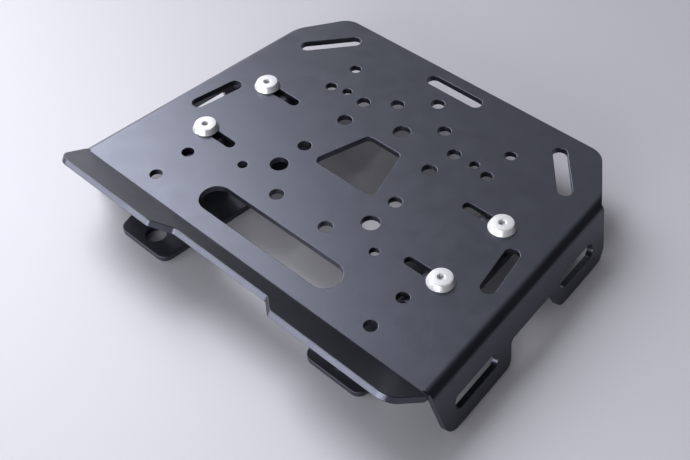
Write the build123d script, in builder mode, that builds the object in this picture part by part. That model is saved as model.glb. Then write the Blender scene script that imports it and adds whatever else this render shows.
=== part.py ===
"""Motorcycle luggage rack: one folded sheet for the deck, the lip and the side flanges,
carried by two folded brackets under it and held to them by four screws."""
import os
from math import cos, radians, sin, tan

from build123d import *

# Sheet, in millimetres
sheet = 4.5
bend_inside_radius = 3.5
lip_bend_inside_radius = 2.0

# Deck. Lengths along Y start at the lip's bend line, lengths across X at the middle.
deck_height = 39.0
deck_half_width = 157.5
deck_length = 226.8
side_taper = 4.45
chamfer_start = 187.2
far_edge_half_width = 115.9
far_corner_radius = 15.0

# Lip along the near edge, turned up from the deck
lip_angle = 34.8
lip_length = 28.9
lip_middle_length = 16.5
lip_half_width = 155.5
lip_step_inner = 42.0
lip_step_outer = 55.0
lip_step_radius = 4.0
lip_end_taper = 14.0
lip_corner_radius = 12.0
corner_relief = 1.0

# Side flanges, folded down and leaning outward. Lengths run along the bend, depths down the face.
flange_lean = 15.0
near_end_slope = 7.5
near_tip_radius = 10.0
near_leg_end = 70.9
far_leg_start = 126.5
far_leg_end = 181.1
far_tip_radius = 12.0
far_end_slope = 13.8
leg_slope = 17.0
leg_corner_radius = 7.0
notch_corner_radius = 4.0
notch_depth = 23.1

# Slots in the legs
leg_slot_depth = 23.6
near_leg_slot_centre = 39.0
near_leg_slot_length = 43.3
far_leg_slot_centre = 150.8
far_leg_slot_length = 39.5
leg_slot_width = 10.0

# Hand slot and window in the deck
hand_slot_centre = 26.8
hand_slot_length = 122.6
hand_slot_width = 22.7
window_near = 94.9
window_far = 137.6
window_near_half_width = 27.7
window_side_slope = 17.0
window_corner_radius = 4.5

# Strap slots in the deck
strap_slot_width = 10.0
side_slot_across = 129.1
side_slot_along = 99.4
side_slot_length = 40.5
side_slot_angle = 100.5
corner_slot_across = 106.2
corner_slot_along = 195.0
corner_slot_length = 45.4
corner_slot_angle = 130.8
far_slot_along = 212.0
far_slot_length = 48.0

# Round holes in the deck, as pairs either side of the middle: across, along, diameter
outer_pair_across = 98.3
outer_pair_near = 15.7
outer_pair_far = 44.4
outer_pair_bore = 8.6
case_pair_across = 41.6
case_pair_near = 101.4
case_pair_far = 161.2
case_pair_bore = 9.3
corner_pair_across = 71.3
corner_pair_near = 158.9
corner_pair_far = 184.7
corner_pair_bore = 8.0
paired_holes = [
    (outer_pair_across, outer_pair_near, outer_pair_bore),
    (outer_pair_across, outer_pair_far, outer_pair_bore),
    (case_pair_across, case_pair_near, case_pair_bore),
    (case_pair_across, case_pair_far, case_pair_bore),
    (corner_pair_across, corner_pair_near, corner_pair_bore),
    (corner_pair_across, corner_pair_far, corner_pair_bore),
    (60.4, 60.5, 6.6),
    (41.9, 77.3, 12.5),
    (22.4, 55.8, 9.6),
    (38.8, 138.7, 10.2),
    (21.6, 175.0, 9.2),
    (58.5, 162.1, 6.6),
]
middle_holes = [(155.1, 12.2), (193.8, 9.5)]

# Screws that hold the deck to the brackets, and the slots in the deck that they are set in
screw_across = 107.3
screw_rows = [69.1, 129.1]
screw_diameter = 6.0
screw_slot_clearance = 1.0
screw_slot_travel = 28.0
screw_slot_inner_ends = [78.8, 76.3]
socket_across_flats = 4.0
socket_depth = 2.2
head_diameter = 14.0
head_rim = 0.3
head_proud = 0.2
cup_diameter = 18.6
cup_height = 4.2
cup_rim = 0.7
cup_top_land = 0.25
seat_gap = 0.05
washer_diameter = 12.0
washer_thickness = 1.6
washer_clearance = 0.4
nut_across_flats = 10.0
nut_height = 5.0
thread_clearance = 0.05
screw_tail = 2.0

# Brackets: a base on the ground, an upright web and a top flange under the deck
foot_inner = 62.6
foot_width = 46.2
foot_flare = 14.0
foot_near = -12.25
foot_corner_radius = 7.0
foot_depth = 44.0
foot_hole_diameter = 14.5
foot_hole_across = 85.0
foot_hole_back = 12.5
base_far = 118.0
web_across = 94.0
web_near = 42.0
web_far = 142.0
top_flange_reach = 34.4
top_flange_corner_radius = 8.0
bracket_slot_travel = 14.0
bracket_offset = 3.25

# Values that follow from the sizes above
lip_reach = lip_length * cos(radians(lip_angle)) + sheet * sin(radians(lip_angle))
bend_line_y = (lip_reach - deck_length) / 2
lip_setback = lip_bend_inside_radius * tan(radians(lip_angle / 2))
lip_tip_half_width = lip_half_width - lip_length * tan(radians(lip_end_taper))
bend_outer_radius = bend_inside_radius + sheet
side_setback = bend_outer_radius * tan(radians((90 - flange_lean) / 2))
side_start = lip_setback + corner_relief
leg_depth = (deck_height - sheet * sin(radians(flange_lean))) / cos(radians(flange_lean))
near_tip = side_start + (leg_depth - side_setback) * tan(radians(near_end_slope))
flange_far_end = far_leg_end + (leg_depth - side_setback) * tan(radians(far_end_slope))
notch_run = (leg_depth - notch_depth) * tan(radians(leg_slope))
window_far_half_width = window_near_half_width - (window_far - window_near) * tan(
    radians(window_side_slope)
)
screw_slot_width = screw_diameter + screw_slot_clearance
screw_slot_length = screw_slot_width + screw_slot_travel
bracket_bend_radius = bend_inside_radius + sheet / 2
cup_bore = screw_diameter / 2 + washer_clearance / 2
seat_top = head_diameter / 2 + head_rim - head_proud + seat_gap
head_top = cup_height + head_proud
nut_top = -2 * sheet - washer_thickness
screw_end = nut_top - nut_height - screw_tail

ground = Plane((0, bend_line_y, 0))
deck_top = Plane((0, bend_line_y, deck_height))
lip_face = Plane(
    (0, bend_line_y, deck_height),
    x_dir=(-1, 0, 0),
    z_dir=(0, sin(radians(lip_angle)), cos(radians(lip_angle))),
)
along_side = Vector(-sin(radians(side_taper)), cos(radians(side_taper)), 0)
out_of_side = Vector(cos(radians(side_taper)), sin(radians(side_taper)), 0)
side_origin = Vector(deck_half_width, bend_line_y, deck_height)
side_section = Plane(side_origin + along_side * side_start, x_dir=out_of_side, z_dir=-along_side)
flange_face = Plane(
    side_origin,
    x_dir=along_side,
    z_dir=out_of_side * cos(radians(flange_lean)) + Vector(0, 0, sin(radians(flange_lean))),
)
web_section = Plane(
    (web_across, bend_line_y + web_near, 0),
    x_dir=out_of_side,
    z_dir=-along_side,
)


def side_line(along, inset=0.0):
    """Half width of the deck at a length along Y, a distance inside the side's mould line."""
    return deck_half_width - inset / cos(radians(side_taper)) - along * tan(radians(side_taper))


def web_line(along):
    """Half width at which a bracket's base starts to bend up into its web."""
    tangent = web_across - bracket_bend_radius / cos(radians(side_taper))
    return tangent - (along - web_near) * tan(radians(side_taper))


# The chamfer on the far corners: its rise along Y for each millimetre towards the middle, and
# the length along Y that it gains for each millimetre inside the side's mould line
chamfer_slope = (deck_length - chamfer_start) / (side_line(chamfer_start) - far_edge_half_width)
chamfer_gain = chamfer_slope / (cos(radians(side_taper)) - chamfer_slope * sin(radians(side_taper)))
chamfer_tangent = chamfer_start + side_setback * chamfer_gain
chamfer_inner = chamfer_start + 3 * side_setback * chamfer_gain

# Where the chamfer meets the end of the flange, part of the way round the bend
fold_corner_inset = (flange_far_end * cos(radians(side_taper)) - chamfer_start) / (
    chamfer_gain + sin(radians(side_taper))
)
fold_corner = chamfer_start + fold_corner_inset * chamfer_gain

# Side fold: the bend and the flange with its two legs, on the right
with BuildPart() as side_fold:
    with BuildSketch(side_section):
        with BuildLine():
            FilletPolyline(
                (-2 * side_setback, 0),
                (0, 0),
                (leg_depth * sin(radians(flange_lean)), -leg_depth * cos(radians(flange_lean))),
                radius=bend_outer_radius,
            )
            offset(amount=sheet, side=Side.RIGHT)
        make_face()
    extrude(amount=side_start - deck_length)

    # The corner chamfer runs on from the deck into the bend
    with BuildSketch(deck_top):
        Polygon(
            (side_line(chamfer_inner, 3 * side_setback), chamfer_inner),
            (side_line(fold_corner, fold_corner_inset), fold_corner),
            (side_line(2 * deck_length, fold_corner_inset), 2 * deck_length),
            (side_line(chamfer_inner, 3 * side_setback), 2 * deck_length),
            align=None,
        )
    extrude(amount=-bend_outer_radius, mode=Mode.SUBTRACT)

    # Beyond the flange's far end only the chamfered part of the bend is left
    with BuildSketch(side_section.offset(-(flange_far_end - side_start))):
        with Locations((-fold_corner_inset, 0)):
            Rectangle(2 * deck_height, 3 * deck_height, align=(Align.MIN, Align.CENTER))
    extrude(amount=-deck_length, mode=Mode.SUBTRACT)

    # Waste round the legs, the notch between them and both ends of the flange
    with BuildSketch(flange_face):
        with Locations((0, -side_setback)):
            Rectangle(3 * deck_length, 2 * leg_depth, align=(Align.CENTER, Align.MAX))
        with BuildLine():
            FilletPolyline(
                (side_start, -side_setback),
                (near_tip, -leg_depth),
                (near_leg_end, -leg_depth),
                (near_leg_end + notch_run, -notch_depth),
                (far_leg_start - notch_run, -notch_depth),
                (far_leg_start, -leg_depth),
                (far_leg_end, -leg_depth),
                (flange_far_end, -side_setback),
                radius=[
                    near_tip_radius,
                    leg_corner_radius,
                    notch_corner_radius,
                    notch_corner_radius,
                    leg_corner_radius,
                    far_tip_radius,
                ],
            )
            Line((flange_far_end, -side_setback), (side_start, -side_setback))
        make_face(mode=Mode.SUBTRACT)
    extrude(amount=2 * sheet, both=True, mode=Mode.SUBTRACT)

    # Slots in the two legs
    with BuildSketch(flange_face):
        with Locations((near_leg_slot_centre, -leg_slot_depth)):
            SlotOverall(near_leg_slot_length, leg_slot_width)
        with Locations((far_leg_slot_centre, -leg_slot_depth)):
            SlotOverall(far_leg_slot_length, leg_slot_width)
    extrude(amount=2 * sheet, both=True, mode=Mode.SUBTRACT)

# Folded sheet: deck, lip and both side folds
with BuildPart() as rack_plate:
    with BuildSketch(deck_top):
        with BuildLine():
            FilletPolyline(
                (-side_line(side_start, side_setback), lip_setback),
                (side_line(side_start, side_setback), lip_setback),
                (side_line(chamfer_tangent, side_setback), chamfer_tangent),
                (far_edge_half_width, deck_length),
                (-far_edge_half_width, deck_length),
                (-side_line(chamfer_tangent, side_setback), chamfer_tangent),
                radius=[0, 0, 0, far_corner_radius, far_corner_radius, 0],
                close=True,
            )
        make_face()
        # Round holes
        for across, along, diameter in paired_holes:
            with Locations((across, along), (-across, along)):
                Circle(diameter / 2, mode=Mode.SUBTRACT)
        for along, diameter in middle_holes:
            with Locations((0, along)):
                Circle(diameter / 2, mode=Mode.SUBTRACT)
        # Hand slot and strap slots
        with Locations((0, hand_slot_centre)):
            SlotOverall(hand_slot_length, hand_slot_width, mode=Mode.SUBTRACT)
        with Locations((0, far_slot_along)):
            SlotOverall(far_slot_length, strap_slot_width, mode=Mode.SUBTRACT)
        for side in (-1, 1):
            with Locations((side * side_slot_across, side_slot_along)):
                SlotOverall(side_slot_length, strap_slot_width, side * side_slot_angle, mode=Mode.SUBTRACT)
            with Locations((side * corner_slot_across, corner_slot_along)):
                SlotOverall(
                    corner_slot_length, strap_slot_width, side * corner_slot_angle, mode=Mode.SUBTRACT
                )
            # Screw slots
            for row, inner_end in zip(screw_rows, screw_slot_inner_ends):
                with Locations((side * (inner_end + screw_slot_length / 2), row)):
                    SlotOverall(screw_slot_length, screw_slot_width, mode=Mode.SUBTRACT)
        # Window
        with BuildLine():
            FilletPolyline(
                (-window_near_half_width, window_near),
                (window_near_half_width, window_near),
                (window_far_half_width, window_far),
                (-window_far_half_width, window_far),
                radius=window_corner_radius,
                close=True,
            )
        make_face(mode=Mode.SUBTRACT)
    extrude(amount=-sheet)

    # Bend of the lip, then the lip itself
    with BuildSketch(Plane((0, bend_line_y + lip_setback, deck_height), (1, 0, 0), (0, -1, 0))):
        Rectangle(2 * lip_half_width, sheet, align=(Align.CENTER, Align.MAX))
    revolve(
        axis=Axis((0, bend_line_y + lip_setback, deck_height + lip_bend_inside_radius), (-1, 0, 0)),
        revolution_arc=lip_angle,
    )
    with BuildSketch(lip_face):
        with BuildLine():
            FilletPolyline(
                (-lip_half_width, lip_setback),
                (lip_half_width, lip_setback),
                (lip_tip_half_width, lip_length),
                (lip_step_outer, lip_length),
                (lip_step_inner, lip_middle_length),
                (-lip_step_inner, lip_middle_length),
                (-lip_step_outer, lip_length),
                (-lip_tip_half_width, lip_length),
                radius=[
                    0,
                    0,
                    lip_corner_radius,
                    lip_step_radius,
                    lip_step_radius,
                    lip_step_radius,
                    lip_step_radius,
                    lip_corner_radius,
                ],
                close=True,
            )
        make_face()
    extrude(amount=-sheet)

    add(side_fold.part)
    mirror(side_fold.part, about=Plane.YZ)

# Bracket, as it stands on the right before it is slid along its slots
with BuildPart() as bracket:
    with BuildSketch(ground):
        with BuildLine():
            FilletPolyline(
                (foot_inner, foot_near),
                (foot_inner + foot_width, foot_near),
                (
                    foot_inner + foot_width + foot_depth * tan(radians(foot_flare)),
                    foot_near + foot_depth,
                ),
                (web_line(foot_near + foot_depth), foot_near + foot_depth),
                (web_line(web_far), web_far),
                (foot_inner - (base_far - foot_near) * tan(radians(side_taper)), base_far),
                radius=[
                    foot_corner_radius,
                    foot_corner_radius,
                    foot_corner_radius,
                    0,
                    0,
                    foot_corner_radius,
                ],
                close=True,
            )
        make_face()
        with Locations((foot_hole_across, foot_near + foot_hole_back)):
            Circle(foot_hole_diameter / 2, mode=Mode.SUBTRACT)
    extrude(amount=sheet)

    # Web and top flange, folded up from the base and out under the deck
    with BuildSketch(web_section):
        with BuildLine():
            FilletPolyline(
                (-2 * bracket_bend_radius, sheet / 2),
                (0, sheet / 2),
                (0, deck_height - 1.5 * sheet),
                (top_flange_reach, deck_height - 1.5 * sheet),
                radius=bracket_bend_radius,
            )
        trace(line_width=sheet)
    extrude(amount=web_near - web_far)
    outer_corners = bracket.edges().filter_by(Axis.Z).sort_by(Axis((0, 0, 0), out_of_side))[-2:]
    fillet(outer_corners, radius=top_flange_corner_radius)

    # Slots that let the bracket slide to and fro under the screws
    with BuildSketch(Plane((0, bend_line_y, deck_height - sheet))):
        with Locations(*[(screw_across, row) for row in screw_rows]):
            SlotOverall(screw_slot_width + bracket_slot_travel, screw_slot_width, rotation=90)
    extrude(amount=-sheet, mode=Mode.SUBTRACT)

bracket_forward = bracket.part.moved(Location((0, -bracket_offset, 0)))
bracket_back = bracket.part.moved(Location((0, bracket_offset, 0)))

with BuildPart() as left_bracket:
    mirror(bracket_forward, about=Plane.YZ)

with BuildPart() as right_bracket:
    add(bracket_back)

# Fasteners, drawn on the middle line with the deck's top at zero
with BuildPart() as cup_washer:
    with BuildSketch(Plane.XZ):
        Polygon(
            (cup_bore, 0),
            (cup_diameter / 2, 0),
            (cup_diameter / 2, cup_rim),
            (seat_top + cup_top_land, cup_height),
            (seat_top, cup_height),
            (cup_bore, cup_height - seat_top + cup_bore),
            align=None,
        )
    revolve(axis=Axis.Z)

with BuildPart() as screw:
    with BuildSketch(Plane.XZ):
        Polygon(
            (0, head_top),
            (head_diameter / 2, head_top),
            (head_diameter / 2, head_top - head_rim),
            (screw_diameter / 2, head_top - head_rim - head_diameter / 2 + screw_diameter / 2),
            (screw_diameter / 2, screw_end),
            (0, screw_end),
            align=None,
        )
    revolve(axis=Axis.Z)
    with BuildSketch(Plane.XY.offset(head_top)):
        RegularPolygon(socket_across_flats / 2, 6, major_radius=False)
    extrude(amount=-socket_depth, mode=Mode.SUBTRACT)

with BuildPart() as washer:
    with BuildSketch(Plane.XY.offset(-2 * sheet)):
        Circle(washer_diameter / 2)
        Circle(screw_diameter / 2 + washer_clearance / 2, mode=Mode.SUBTRACT)
    extrude(amount=-washer_thickness)

with BuildPart() as nut:
    with BuildSketch(Plane.XY.offset(nut_top)):
        RegularPolygon(nut_across_flats / 2, 6, major_radius=False)
        Circle(screw_diameter / 2 + thread_clearance, mode=Mode.SUBTRACT)
    extrude(amount=-nut_height)

rack_plate.part.label = "rack_plate"
left_bracket.part.label = "left_bracket"
right_bracket.part.label = "right_bracket"
pieces = [rack_plate.part, left_bracket.part, right_bracket.part]
for side_name, side in (("left", -1), ("right", 1)):
    for row_name, row in zip(("near", "far"), screw_rows):
        place = Location((side * screw_across, bend_line_y + row, deck_height))
        for kind, piece in (
            ("screw", screw.part),
            ("cup_washer", cup_washer.part),
            ("washer", washer.part),
            ("nut", nut.part),
        ):
            fastener = piece.moved(place)
            fastener.label = f"{side_name}_{row_name}_{kind}"
            pieces.append(fastener)

os.makedirs("parts", exist_ok=True)
for piece in pieces:
    export_step(piece, f"parts/{piece.label}.step")
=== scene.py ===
"""Looks of the motorcycle luggage rack: powder-coated folded sheet, coated brackets and bright
fasteners, on a pale floor with painted shade towards +Y, in soft studio light. Everything is in
metres."""
from math import cos, pi, radians, sin, tan, tau

import bmesh
import bpy
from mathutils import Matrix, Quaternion, Vector


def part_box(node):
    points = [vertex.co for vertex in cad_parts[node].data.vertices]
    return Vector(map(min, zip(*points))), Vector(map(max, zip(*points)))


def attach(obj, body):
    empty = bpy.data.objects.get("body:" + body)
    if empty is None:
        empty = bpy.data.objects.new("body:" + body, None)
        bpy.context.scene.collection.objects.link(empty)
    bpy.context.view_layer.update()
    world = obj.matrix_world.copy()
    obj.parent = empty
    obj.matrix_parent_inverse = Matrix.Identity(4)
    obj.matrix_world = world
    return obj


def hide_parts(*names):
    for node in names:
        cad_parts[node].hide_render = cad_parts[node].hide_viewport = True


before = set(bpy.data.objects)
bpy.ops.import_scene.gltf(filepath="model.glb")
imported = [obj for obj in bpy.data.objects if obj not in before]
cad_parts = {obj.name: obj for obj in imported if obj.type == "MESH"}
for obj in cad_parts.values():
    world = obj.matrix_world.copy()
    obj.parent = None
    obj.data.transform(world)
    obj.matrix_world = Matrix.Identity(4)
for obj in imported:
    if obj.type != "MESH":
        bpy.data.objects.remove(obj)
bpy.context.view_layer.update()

MM = 0.001


def new_object(name, data):
    """Makes an object and links it to the scene."""
    made = bpy.data.objects.new(name, data)
    bpy.context.scene.collection.objects.link(made)
    return made


# Material helpers
def new_material(name):
    """Returns a material, its node tree and its Principled shader."""
    material = bpy.data.materials.new(name)
    material.use_nodes = True
    tree = material.node_tree
    return material, tree, tree.nodes["Principled BSDF"]


def node(tree, kind, **values):
    """Adds a node and sets its inputs or its properties by name."""
    made = tree.nodes.new(kind)
    for key, value in values.items():
        if key in made.inputs:
            made.inputs[key].default_value = value
        else:
            setattr(made, key, value)
    return made


def noise(tree, scale, detail=3.0, roughness=0.5):
    """Noise in the object's own coordinates, in cycles a metre."""
    place = tree.nodes.new("ShaderNodeTexCoord")
    texture = node(tree, "ShaderNodeTexNoise", Scale=scale, Detail=detail, Roughness=roughness)
    tree.links.new(place.outputs["Object"], texture.inputs["Vector"])
    return texture.outputs["Fac"]


def ramp(tree, source, low, high, start=0.35, end=0.65):
    """Colour or grey between two values, as the source goes from start to end."""
    made = tree.nodes.new("ShaderNodeValToRGB")
    made.color_ramp.elements[0].position = start
    made.color_ramp.elements[1].position = end
    made.color_ramp.elements[0].color = low
    made.color_ramp.elements[1].color = high
    tree.links.new(source, made.inputs["Fac"])
    return made.outputs["Color"]


def grey(value):
    """Opaque grey as a ramp's colour."""
    return (value, value, value, 1.0)


def bump(tree, height, depth, strength, under=None):
    """A bump of the given depth, on top of the one under it."""
    made = node(tree, "ShaderNodeBump", Strength=strength, Distance=depth)
    tree.links.new(height, made.inputs["Height"])
    if under is not None:
        tree.links.new(under, made.inputs["Normal"])
    return made.outputs["Normal"]


# Powder coat, glossier than plain paint and with a slightly blue reflection
coat_ior = 1.78
coat_tint = (0.76, 0.80, 1.0, 1.0)
pebble_depth, grain_depth = 0.12 * MM, 0.04 * MM


def powder_coat(name, dark, light, rough_low, rough_high):
    """Fine-textured powder coat: a pebbled skin with a little dust in the colour."""
    material, tree, shader = new_material(name)
    dust = noise(tree, 55.0, 4.0)
    patches = noise(tree, 90.0)
    pebbles = bump(tree, noise(tree, 950.0, 3.0, 0.6), pebble_depth, 0.45)
    grain = bump(tree, noise(tree, 3200.0, 1.0), grain_depth, 0.3, pebbles)
    colour = ramp(tree, dust, dark, light, 0.3, 0.7)
    roughness = ramp(tree, patches, grey(rough_low), grey(rough_high))
    tree.links.new(colour, shader.inputs["Base Color"])
    tree.links.new(roughness, shader.inputs["Roughness"])
    tree.links.new(grain, shader.inputs["Normal"])
    shader.inputs["IOR"].default_value = coat_ior
    shader.inputs["Specular Tint"].default_value = coat_tint
    return material


deck_coat = powder_coat(
    "deck_coat", (0.007, 0.0072, 0.0098, 1.0), (0.0105, 0.0108, 0.0142, 1.0), 0.28, 0.33
)
bracket_coat = powder_coat(
    "bracket_coat", (0.009, 0.009, 0.011, 1.0), (0.013, 0.013, 0.015, 1.0), 0.38, 0.46
)

# Sheet pieces, with the thin rounding that the coat gives their cut edges. Edges sharper than
# cut_angle are rounded, and faces within flat_angle of each other are one flat face.
coat_rounding = 0.45 * MM
sheet_weld = 0.01 * MM
flat_angle, cut_angle = radians(1.0), radians(40)


def coated_sheet(node_name, material):
    """Puts a coated copy of a sheet node's mesh in its place."""
    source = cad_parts[node_name]
    mesh = source.data.copy()
    mesh.name = node_name + "_coated"
    piece = new_object(node_name + "_coated", mesh)
    piece.matrix_world = source.matrix_world
    work = bmesh.new()
    work.from_mesh(mesh)
    bmesh.ops.remove_doubles(work, verts=work.verts, dist=sheet_weld)
    bmesh.ops.dissolve_limit(
        work, angle_limit=flat_angle, verts=work.verts, edges=work.edges, delimit=set()
    )
    for face in work.faces:
        face.smooth = True
    work.to_mesh(mesh)
    work.free()
    mesh.materials.clear()
    mesh.materials.append(material)
    edges = piece.modifiers.new("edges", "BEVEL")
    edges.width = coat_rounding
    edges.segments = 3
    edges.limit_method = "ANGLE"
    edges.angle_limit = cut_angle
    edges.use_clamp_overlap = False
    flats = piece.modifiers.new("flats", "WEIGHTED_NORMAL")
    flats.mode = "FACE_AREA"
    flats.weight = 100
    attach(piece, "root")
    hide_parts(node_name)


coated_sheet("rack_plate", deck_coat)
for side in ("left", "right"):
    coated_sheet(side + "_bracket", bracket_coat)

# Turned metal: fine rings round the piece's own Z axis, and a little unevenness
turned_relief = 0.004 * MM
shade_of_low_patches = 0.95


def turned_metal(name, colour, rough_low, rough_high, ring_pitch, ring_strength, metallic=1.0):
    """Bright turned metal whose rings are ring_pitch apart."""
    material, tree, shader = new_material(name)
    low = tuple(channel * shade_of_low_patches for channel in colour)
    tint = ramp(tree, noise(tree, 260.0), low + (1.0,), colour + (1.0,))
    patches = ramp(tree, noise(tree, 700.0, 4.0), grey(rough_low), grey(rough_high))
    place = tree.nodes.new("ShaderNodeTexCoord")
    split = tree.nodes.new("ShaderNodeSeparateXYZ")
    tree.links.new(place.outputs["Object"], split.inputs["Vector"])
    flat = tree.nodes.new("ShaderNodeCombineXYZ")
    tree.links.new(split.outputs["X"], flat.inputs["X"])
    tree.links.new(split.outputs["Y"], flat.inputs["Y"])
    reach = node(tree, "ShaderNodeVectorMath", operation="LENGTH")
    tree.links.new(flat.outputs["Vector"], reach.inputs[0])
    turns = node(tree, "ShaderNodeMath", operation="MULTIPLY")
    turns.inputs[1].default_value = tau / ring_pitch
    tree.links.new(reach.outputs["Value"], turns.inputs[0])
    wave = node(tree, "ShaderNodeMath", operation="SINE")
    tree.links.new(turns.outputs["Value"], wave.inputs[0])
    rings = bump(tree, wave.outputs["Value"], turned_relief, ring_strength)
    grain = bump(tree, noise(tree, 5000.0, 2.0), turned_relief, 0.4, rings)
    tree.links.new(tint, shader.inputs["Base Color"])
    tree.links.new(patches, shader.inputs["Roughness"])
    tree.links.new(grain, shader.inputs["Normal"])
    shader.inputs["Metallic"].default_value = metallic
    return material


cup_metal = turned_metal("cup_metal", (0.85, 0.85, 0.865), 0.30, 0.38, 0.16 * MM, 0.35, 0.45)
screw_metal = turned_metal("screw_metal", (0.66, 0.66, 0.675), 0.42, 0.50, 0.22 * MM, 0.15, 0.35)
zinc_metal = turned_metal("zinc_metal", (0.70, 0.71, 0.73), 0.32, 0.46, 0.30 * MM, 0.12)

# Turned and threaded fasteners, drawn about their own Z axis with the deck's top at zero
turned_weld = 0.002 * MM
crease = radians(32)


def fastener_mesh(name, points, faces, material):
    """A welded mesh of points and faces, smooth apart from its creases."""
    mesh = bpy.data.meshes.new(name)
    mesh.from_pydata(points, [], faces)
    work = bmesh.new()
    work.from_mesh(mesh)
    bmesh.ops.remove_doubles(work, verts=work.verts, dist=turned_weld)
    bmesh.ops.recalc_face_normals(work, faces=work.faces)
    for face in work.faces:
        face.smooth = True
    work.to_mesh(mesh)
    work.free()
    mesh.set_sharp_from_angle(angle=crease)
    mesh.materials.append(material)
    return mesh


def turned_rings(rings, closed, segments=96):
    """Points and faces of a turned form. A ring is a radius and a height, or a function that
    gives them at an angle, and a closed form's last ring joins its first."""
    points, faces = [], []
    for ring in rings:
        for step in range(segments):
            angle = tau * step / segments
            radius, height = ring(angle) if callable(ring) else ring
            points.append((radius * cos(angle), radius * sin(angle), height))
    count = len(rings)
    for row in range(count if closed else count - 1):
        low, high = row * segments, (row + 1) % count * segments
        for step in range(segments):
            after = (step + 1) % segments
            faces.append((low + step, low + after, high + after, high + step))
    return points, faces


def hexagon(across_flats, angle):
    """Distance from the middle to the side of a hexagon, at an angle."""
    return across_flats / 2 / cos((angle % (pi / 3)) - pi / 6)


def rounded(corner, before, after, radius, steps=5):
    """Points of the arc that rounds one corner of a profile."""
    here, back, ahead = Vector(corner), Vector(before), Vector(after)
    into, out = (back - here).normalized(), (ahead - here).normalized()
    half = into.angle(out) / 2
    centre = here + (into + out).normalized() * radius / sin(half)
    first = here + into * radius / tan(half) - centre
    last = here + out * radius / tan(half) - centre
    turn = first.angle_signed(last)
    points = []
    for step in range(steps + 1):
        angle = -turn * step / steps
        across = centre.x + first.x * cos(angle) - first.y * sin(angle)
        height = centre.y + first.x * sin(angle) + first.y * cos(angle)
        points.append((across, height))
    return points


def rounded_rings(corners):
    """Rings of a closed profile, from its corners as radius, height and rounding in mm."""
    points = []
    for place, (across, height, rounding) in enumerate(corners):
        if rounding == 0:
            points.append((across, height))
            continue
        before = corners[place - 1][:2]
        after = corners[(place + 1) % len(corners)][:2]
        points += rounded((across, height), before, after, rounding)
    return [(across * MM, height * MM) for across, height in points]


def thread_points(start, end, pitch, crest, root, segments=48):
    """A helical thread from the height start down to end, with a run-in of half a turn at each."""
    # Radius of the thread's form at parts of its pitch, from the top down
    profile = ((0.0, root), (0.34, crest), (0.47, crest), (0.81, root), (1.0, root))
    run_in = segments * 0.5
    steps = round((start - end - pitch) / pitch * segments)
    points, faces = [], []
    for step in range(steps + 1):
        angle = tau * step / segments
        fade = min(1.0, step / run_in, (steps - step) / run_in)
        top = start - pitch * step / segments
        for part, radius in profile:
            reach = root + (radius - root) * fade
            points.append((reach * cos(angle), reach * sin(angle), top - part * pitch))
    across = len(profile)
    for step in range(steps):
        for side in range(across - 1):
            low = step * across + side
            faces.append((low, low + 1, low + across + 1, low + across))
    return points, faces


def joined(*shapes):
    """Points and faces of several shapes as one."""
    points, faces = [], []
    for some_points, some_faces in shapes:
        shift = len(points)
        points += some_points
        faces += [tuple(index + shift for index in face) for face in some_faces]
    return points, faces


# The clamped stack: deck and bracket flange, washer and nut, from the deck's top down
sheet_thick, washer_thick, nut_thick = 4.5 * MM, 1.6 * MM, 5.0 * MM
head_top = 4.4 * MM
nut_top = -2 * sheet_thick - washer_thick
screw_end = nut_top - 7.0 * MM
thread_crest, thread_root, thread_pitch = 2.96 * MM, 2.42 * MM, 1.0 * MM
screw_clearance = 3.2  # radius of the washers' bores, in mm


def screw_mesh():
    """Countersunk socket screw: socket, head, shank and thread."""
    axis = 0.02 * MM
    socket_across = 3.8 * MM
    mouth = 2.7 * MM
    shank = 3.0 * MM
    socket_floor = head_top - 2.2 * MM
    shank_top = head_top - 0.3 * MM - 4.0 * MM
    rings = [
        (axis, socket_floor - 0.75 * MM),
        lambda angle: (0.93 * hexagon(socket_across, angle), socket_floor),
        lambda angle: (hexagon(socket_across, angle), socket_floor + 0.1 * MM),
        lambda angle: (hexagon(socket_across, angle), head_top - 0.6 * MM),
        (mouth, head_top - 0.06 * MM),
        (mouth + 0.08 * MM, head_top),
    ]
    head_edge = [(6.78, 4.4), (6.89, 4.37), (6.97, 4.31), (7.0, 4.22), (7.0, 4.13), (6.94, 4.04)]
    rings += [(across * MM, height * MM) for across, height in head_edge]
    rings += [
        (shank + 0.12 * MM, shank_top + 0.12 * MM),
        (shank, shank_top - 0.1 * MM),
        (shank, shank_top - 1.2 * MM),
        (thread_root, shank_top - 1.8 * MM),
        (thread_root, screw_end + 0.25 * MM),
        (thread_root - 0.25 * MM, screw_end),
        (axis, screw_end),
    ]
    thread = thread_points(
        shank_top - 1.4 * MM, screw_end + 0.1 * MM, thread_pitch, thread_crest, thread_root
    )
    return fastener_mesh("screw", *joined(turned_rings(rings, False), thread), screw_metal)


def cup_washer_mesh():
    """Turned cup washer with a conical seat, a narrow top land and rounded edges."""
    rim, land, seat, top = 9.3, 7.42, 7.15, 4.2
    corners = [
        (screw_clearance, 0.0, 0),
        (rim, 0.0, 0.12),
        (rim, 0.7, 0.18),
        (land, top, 0.2),
        (seat, top, 0.05),
        (screw_clearance, top - seat + screw_clearance, 0),
    ]
    return fastener_mesh("cup_washer", *turned_rings(rounded_rings(corners), True), cup_metal)


def washer_mesh():
    """Plain washer with rounded edges."""
    rim, top, bottom = 6.0, -9.0, -10.6
    corners = [
        (screw_clearance, bottom, 0.1),
        (rim, bottom, 0.25),
        (rim, top, 0.12),
        (screw_clearance, top, 0.1),
    ]
    return fastener_mesh("washer", *turned_rings(rounded_rings(corners), True), zinc_metal)


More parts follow.
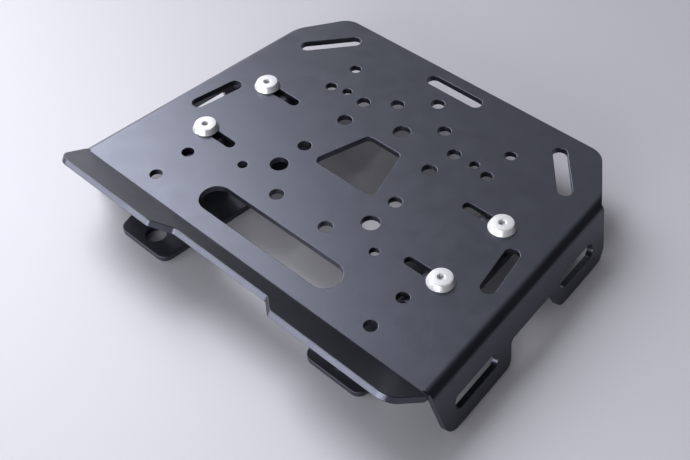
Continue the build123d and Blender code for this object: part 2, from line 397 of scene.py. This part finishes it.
def nut_mesh():
    """Hexagon nut: both faces turned to a cone, and a countersunk bore."""
    across_flats = 10.0 * MM
    nut_bottom = nut_top - nut_thick
    face_radius = 4.7 * MM
    mouth, bore, sink = 3.45 * MM, 3.05 * MM, 0.4 * MM
    slope = tan(radians(30))

    def cone(height, sign):
        def ring(angle):
            reach = hexagon(across_flats, angle)
            return reach, height - sign * (reach - face_radius) * slope

        return ring

    rings = [
        (mouth, nut_top),
        (face_radius, nut_top),
        cone(nut_top, 1),
        cone(nut_bottom, -1),
        (face_radius, nut_bottom),
        (mouth, nut_bottom),
        (bore, nut_bottom + sink),
        (bore, nut_top - sink),
    ]
    return fastener_mesh("nut", *turned_rings(rings, True), zinc_metal)


def fasteners():
    """Screw, washers and nut at each of the four corners, each set turned by its own angle."""
    kinds = {
        "screw": (screw_mesh(), "bright_steel"),
        "cup_washer": (cup_washer_mesh(), "polished_aluminium"),
        "washer": (washer_mesh(), "zinc_steel"),
        "nut": (nut_mesh(), "zinc_steel"),
    }
    spins = {"left_near": 12, "left_far": 41, "right_near": 27, "right_far": 5}
    for corner, spin in spins.items():
        low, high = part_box(corner + "_screw")
        place = Vector(((low.x + high.x) / 2, (low.y + high.y) / 2, high.z - head_top))
        for kind, (mesh, slot) in kinds.items():
            piece = new_object(corner + "_" + kind + "_turned", mesh)
            piece.location = place
            piece.rotation_euler = (0.0, 0.0, radians(spin))
            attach(piece, "root")
            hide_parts(corner + "_" + kind)


fasteners()

# Floor: pale paint with painted shade, going from a lit tone to a darker one as Y goes from -0.15
# to 0.45, in place of the lamps' falloff
floor_half = 30.0
floor_painted_lit_tone, floor_painted_shade_tone = (0.53, 0.52, 0.56, 1.0), (0.385, 0.375, 0.41, 1.0)
floor_shift = 0.3
floor_mesh = bpy.data.meshes.new("floor")
floor_mesh.from_pydata(
    [(x * floor_half, y * floor_half, 0.0) for x, y in ((-1, -1), (1, -1), (1, 1), (-1, 1))],
    [],
    [(0, 1, 2, 3)],
)
new_object("floor", floor_mesh)
floor_material, tree, shader = new_material("floor_paint_with_painted_shade")
floor_place = tree.nodes.new("ShaderNodeTexCoord")
floor_split = tree.nodes.new("ShaderNodeSeparateXYZ")
tree.links.new(floor_place.outputs["Object"], floor_split.inputs["Vector"])
floor_reach = node(tree, "ShaderNodeMath", operation="ADD")
floor_reach.inputs[1].default_value = floor_shift
tree.links.new(floor_split.outputs["Y"], floor_reach.inputs[0])
# painted shade: the floor's colour darkens towards +Y in place of the lamps' falloff
floor_painted_falloff = ramp(tree, floor_reach.outputs["Value"], floor_painted_lit_tone, floor_painted_shade_tone, 0.15, 0.75)
tree.links.new(floor_painted_falloff, shader.inputs["Base Color"])
shader.inputs["Roughness"].default_value = 0.5
shader.inputs["Metallic"].default_value = 0.08
floor_mesh.materials.append(floor_material)

# Lamps
lamp_colour = (0.93, 0.95, 1.0)


def soft_light(name, place, target, size, power):
    """A large rectangular lamp that faces its target."""
    data = bpy.data.lights.new(name, "AREA")
    data.shape = "RECTANGLE"
    data.size, data.size_y = size
    data.energy = power
    data.color = lamp_colour
    lamp = new_object(name, data)
    lamp.location = place
    lamp.rotation_mode = "QUATERNION"
    lamp.rotation_quaternion = (Vector(target) - Vector(place)).to_track_quat("-Z", "Y")


soft_light("key", (-1.755, 0.315, 1.755), (0.0, 0.0, 0.03), (1.275, 1.95), 42.0)
soft_light("low_panel", (-0.5, -1.25, 0.13), (0.0, 0.0, 0.06), (1.5, 0.2), 5.5)

# World: a dim studio with soft round windows. Each is an azimuth from +X towards +Y, a height,
# the half widths of its even middle and of its whole glow, all in degrees, and a brightness.
windows = (
    (133.0, 2.0, 4.0, 14.0, 2.0),
    (165.0, 45.0, 8.0, 22.0, 2.6),
    (166.0, 14.0, 9.0, 22.0, 2.4),
    (120.0, 46.0, 8.0, 32.0, 0.5),
    (200.0, 40.0, 10.0, 40.0, 1.5),
    (280.0, 10.0, 8.0, 30.0, 7.4),
    (238.0, 6.0, 8.0, 24.0, 2.2),
)
dim_level = 0.05
world = bpy.data.worlds.new("studio")
bpy.context.scene.world = world
world.use_nodes = True
world_tree = world.node_tree
sky = world_tree.nodes["Background"]
sky.inputs["Color"].default_value = (0.95, 0.96, 1.0, 1.0)
sky_place = world_tree.nodes.new("ShaderNodeTexCoord")
sky_level = node(world_tree, "ShaderNodeValue").outputs["Value"]
sky_level.default_value = dim_level
for azimuth, height, inner, outer, brightness in windows:
    toward = node(world_tree, "ShaderNodeVectorMath", operation="DOT_PRODUCT")
    toward.inputs[1].default_value = (
        cos(radians(azimuth)) * cos(radians(height)),
        sin(radians(azimuth)) * cos(radians(height)),
        sin(radians(height)),
    )
    world_tree.links.new(sky_place.outputs["Generated"], toward.inputs[0])
    glow = node(world_tree, "ShaderNodeMapRange", interpolation_type="SMOOTHSTEP")
    glow.inputs["From Min"].default_value = cos(radians(outer))
    glow.inputs["From Max"].default_value = cos(radians(inner))
    glow.inputs["To Max"].default_value = brightness
    world_tree.links.new(toward.outputs["Value"], glow.inputs["Value"])
    both = node(world_tree, "ShaderNodeMath", operation="ADD")
    world_tree.links.new(sky_level, both.inputs[0])
    world_tree.links.new(glow.outputs["Result"], both.inputs[1])
    sky_level = both.outputs["Value"]
world_tree.links.new(sky_level, sky.inputs["Strength"])

# Camera, at the photograph's viewing angle
camera_place = Vector((0.3847, -0.3764, 0.5596))
camera_target = Vector((0.0338, -0.0384, 0.039))
camera_roll = Quaternion((0.0, 0.0, 1.0), radians(-3.73))
camera_data = bpy.data.cameras.new("camera")
camera_data.lens = 58.39
camera_data.sensor_width = 36.0
camera = new_object("camera", camera_data)
camera.location = camera_place
camera.rotation_mode = "QUATERNION"
camera.rotation_quaternion = (camera_target - camera_place).to_track_quat("-Z", "Y") @ camera_roll
bpy.context.scene.camera = camera
bpy.context.scene.view_settings.view_transform = "Standard"
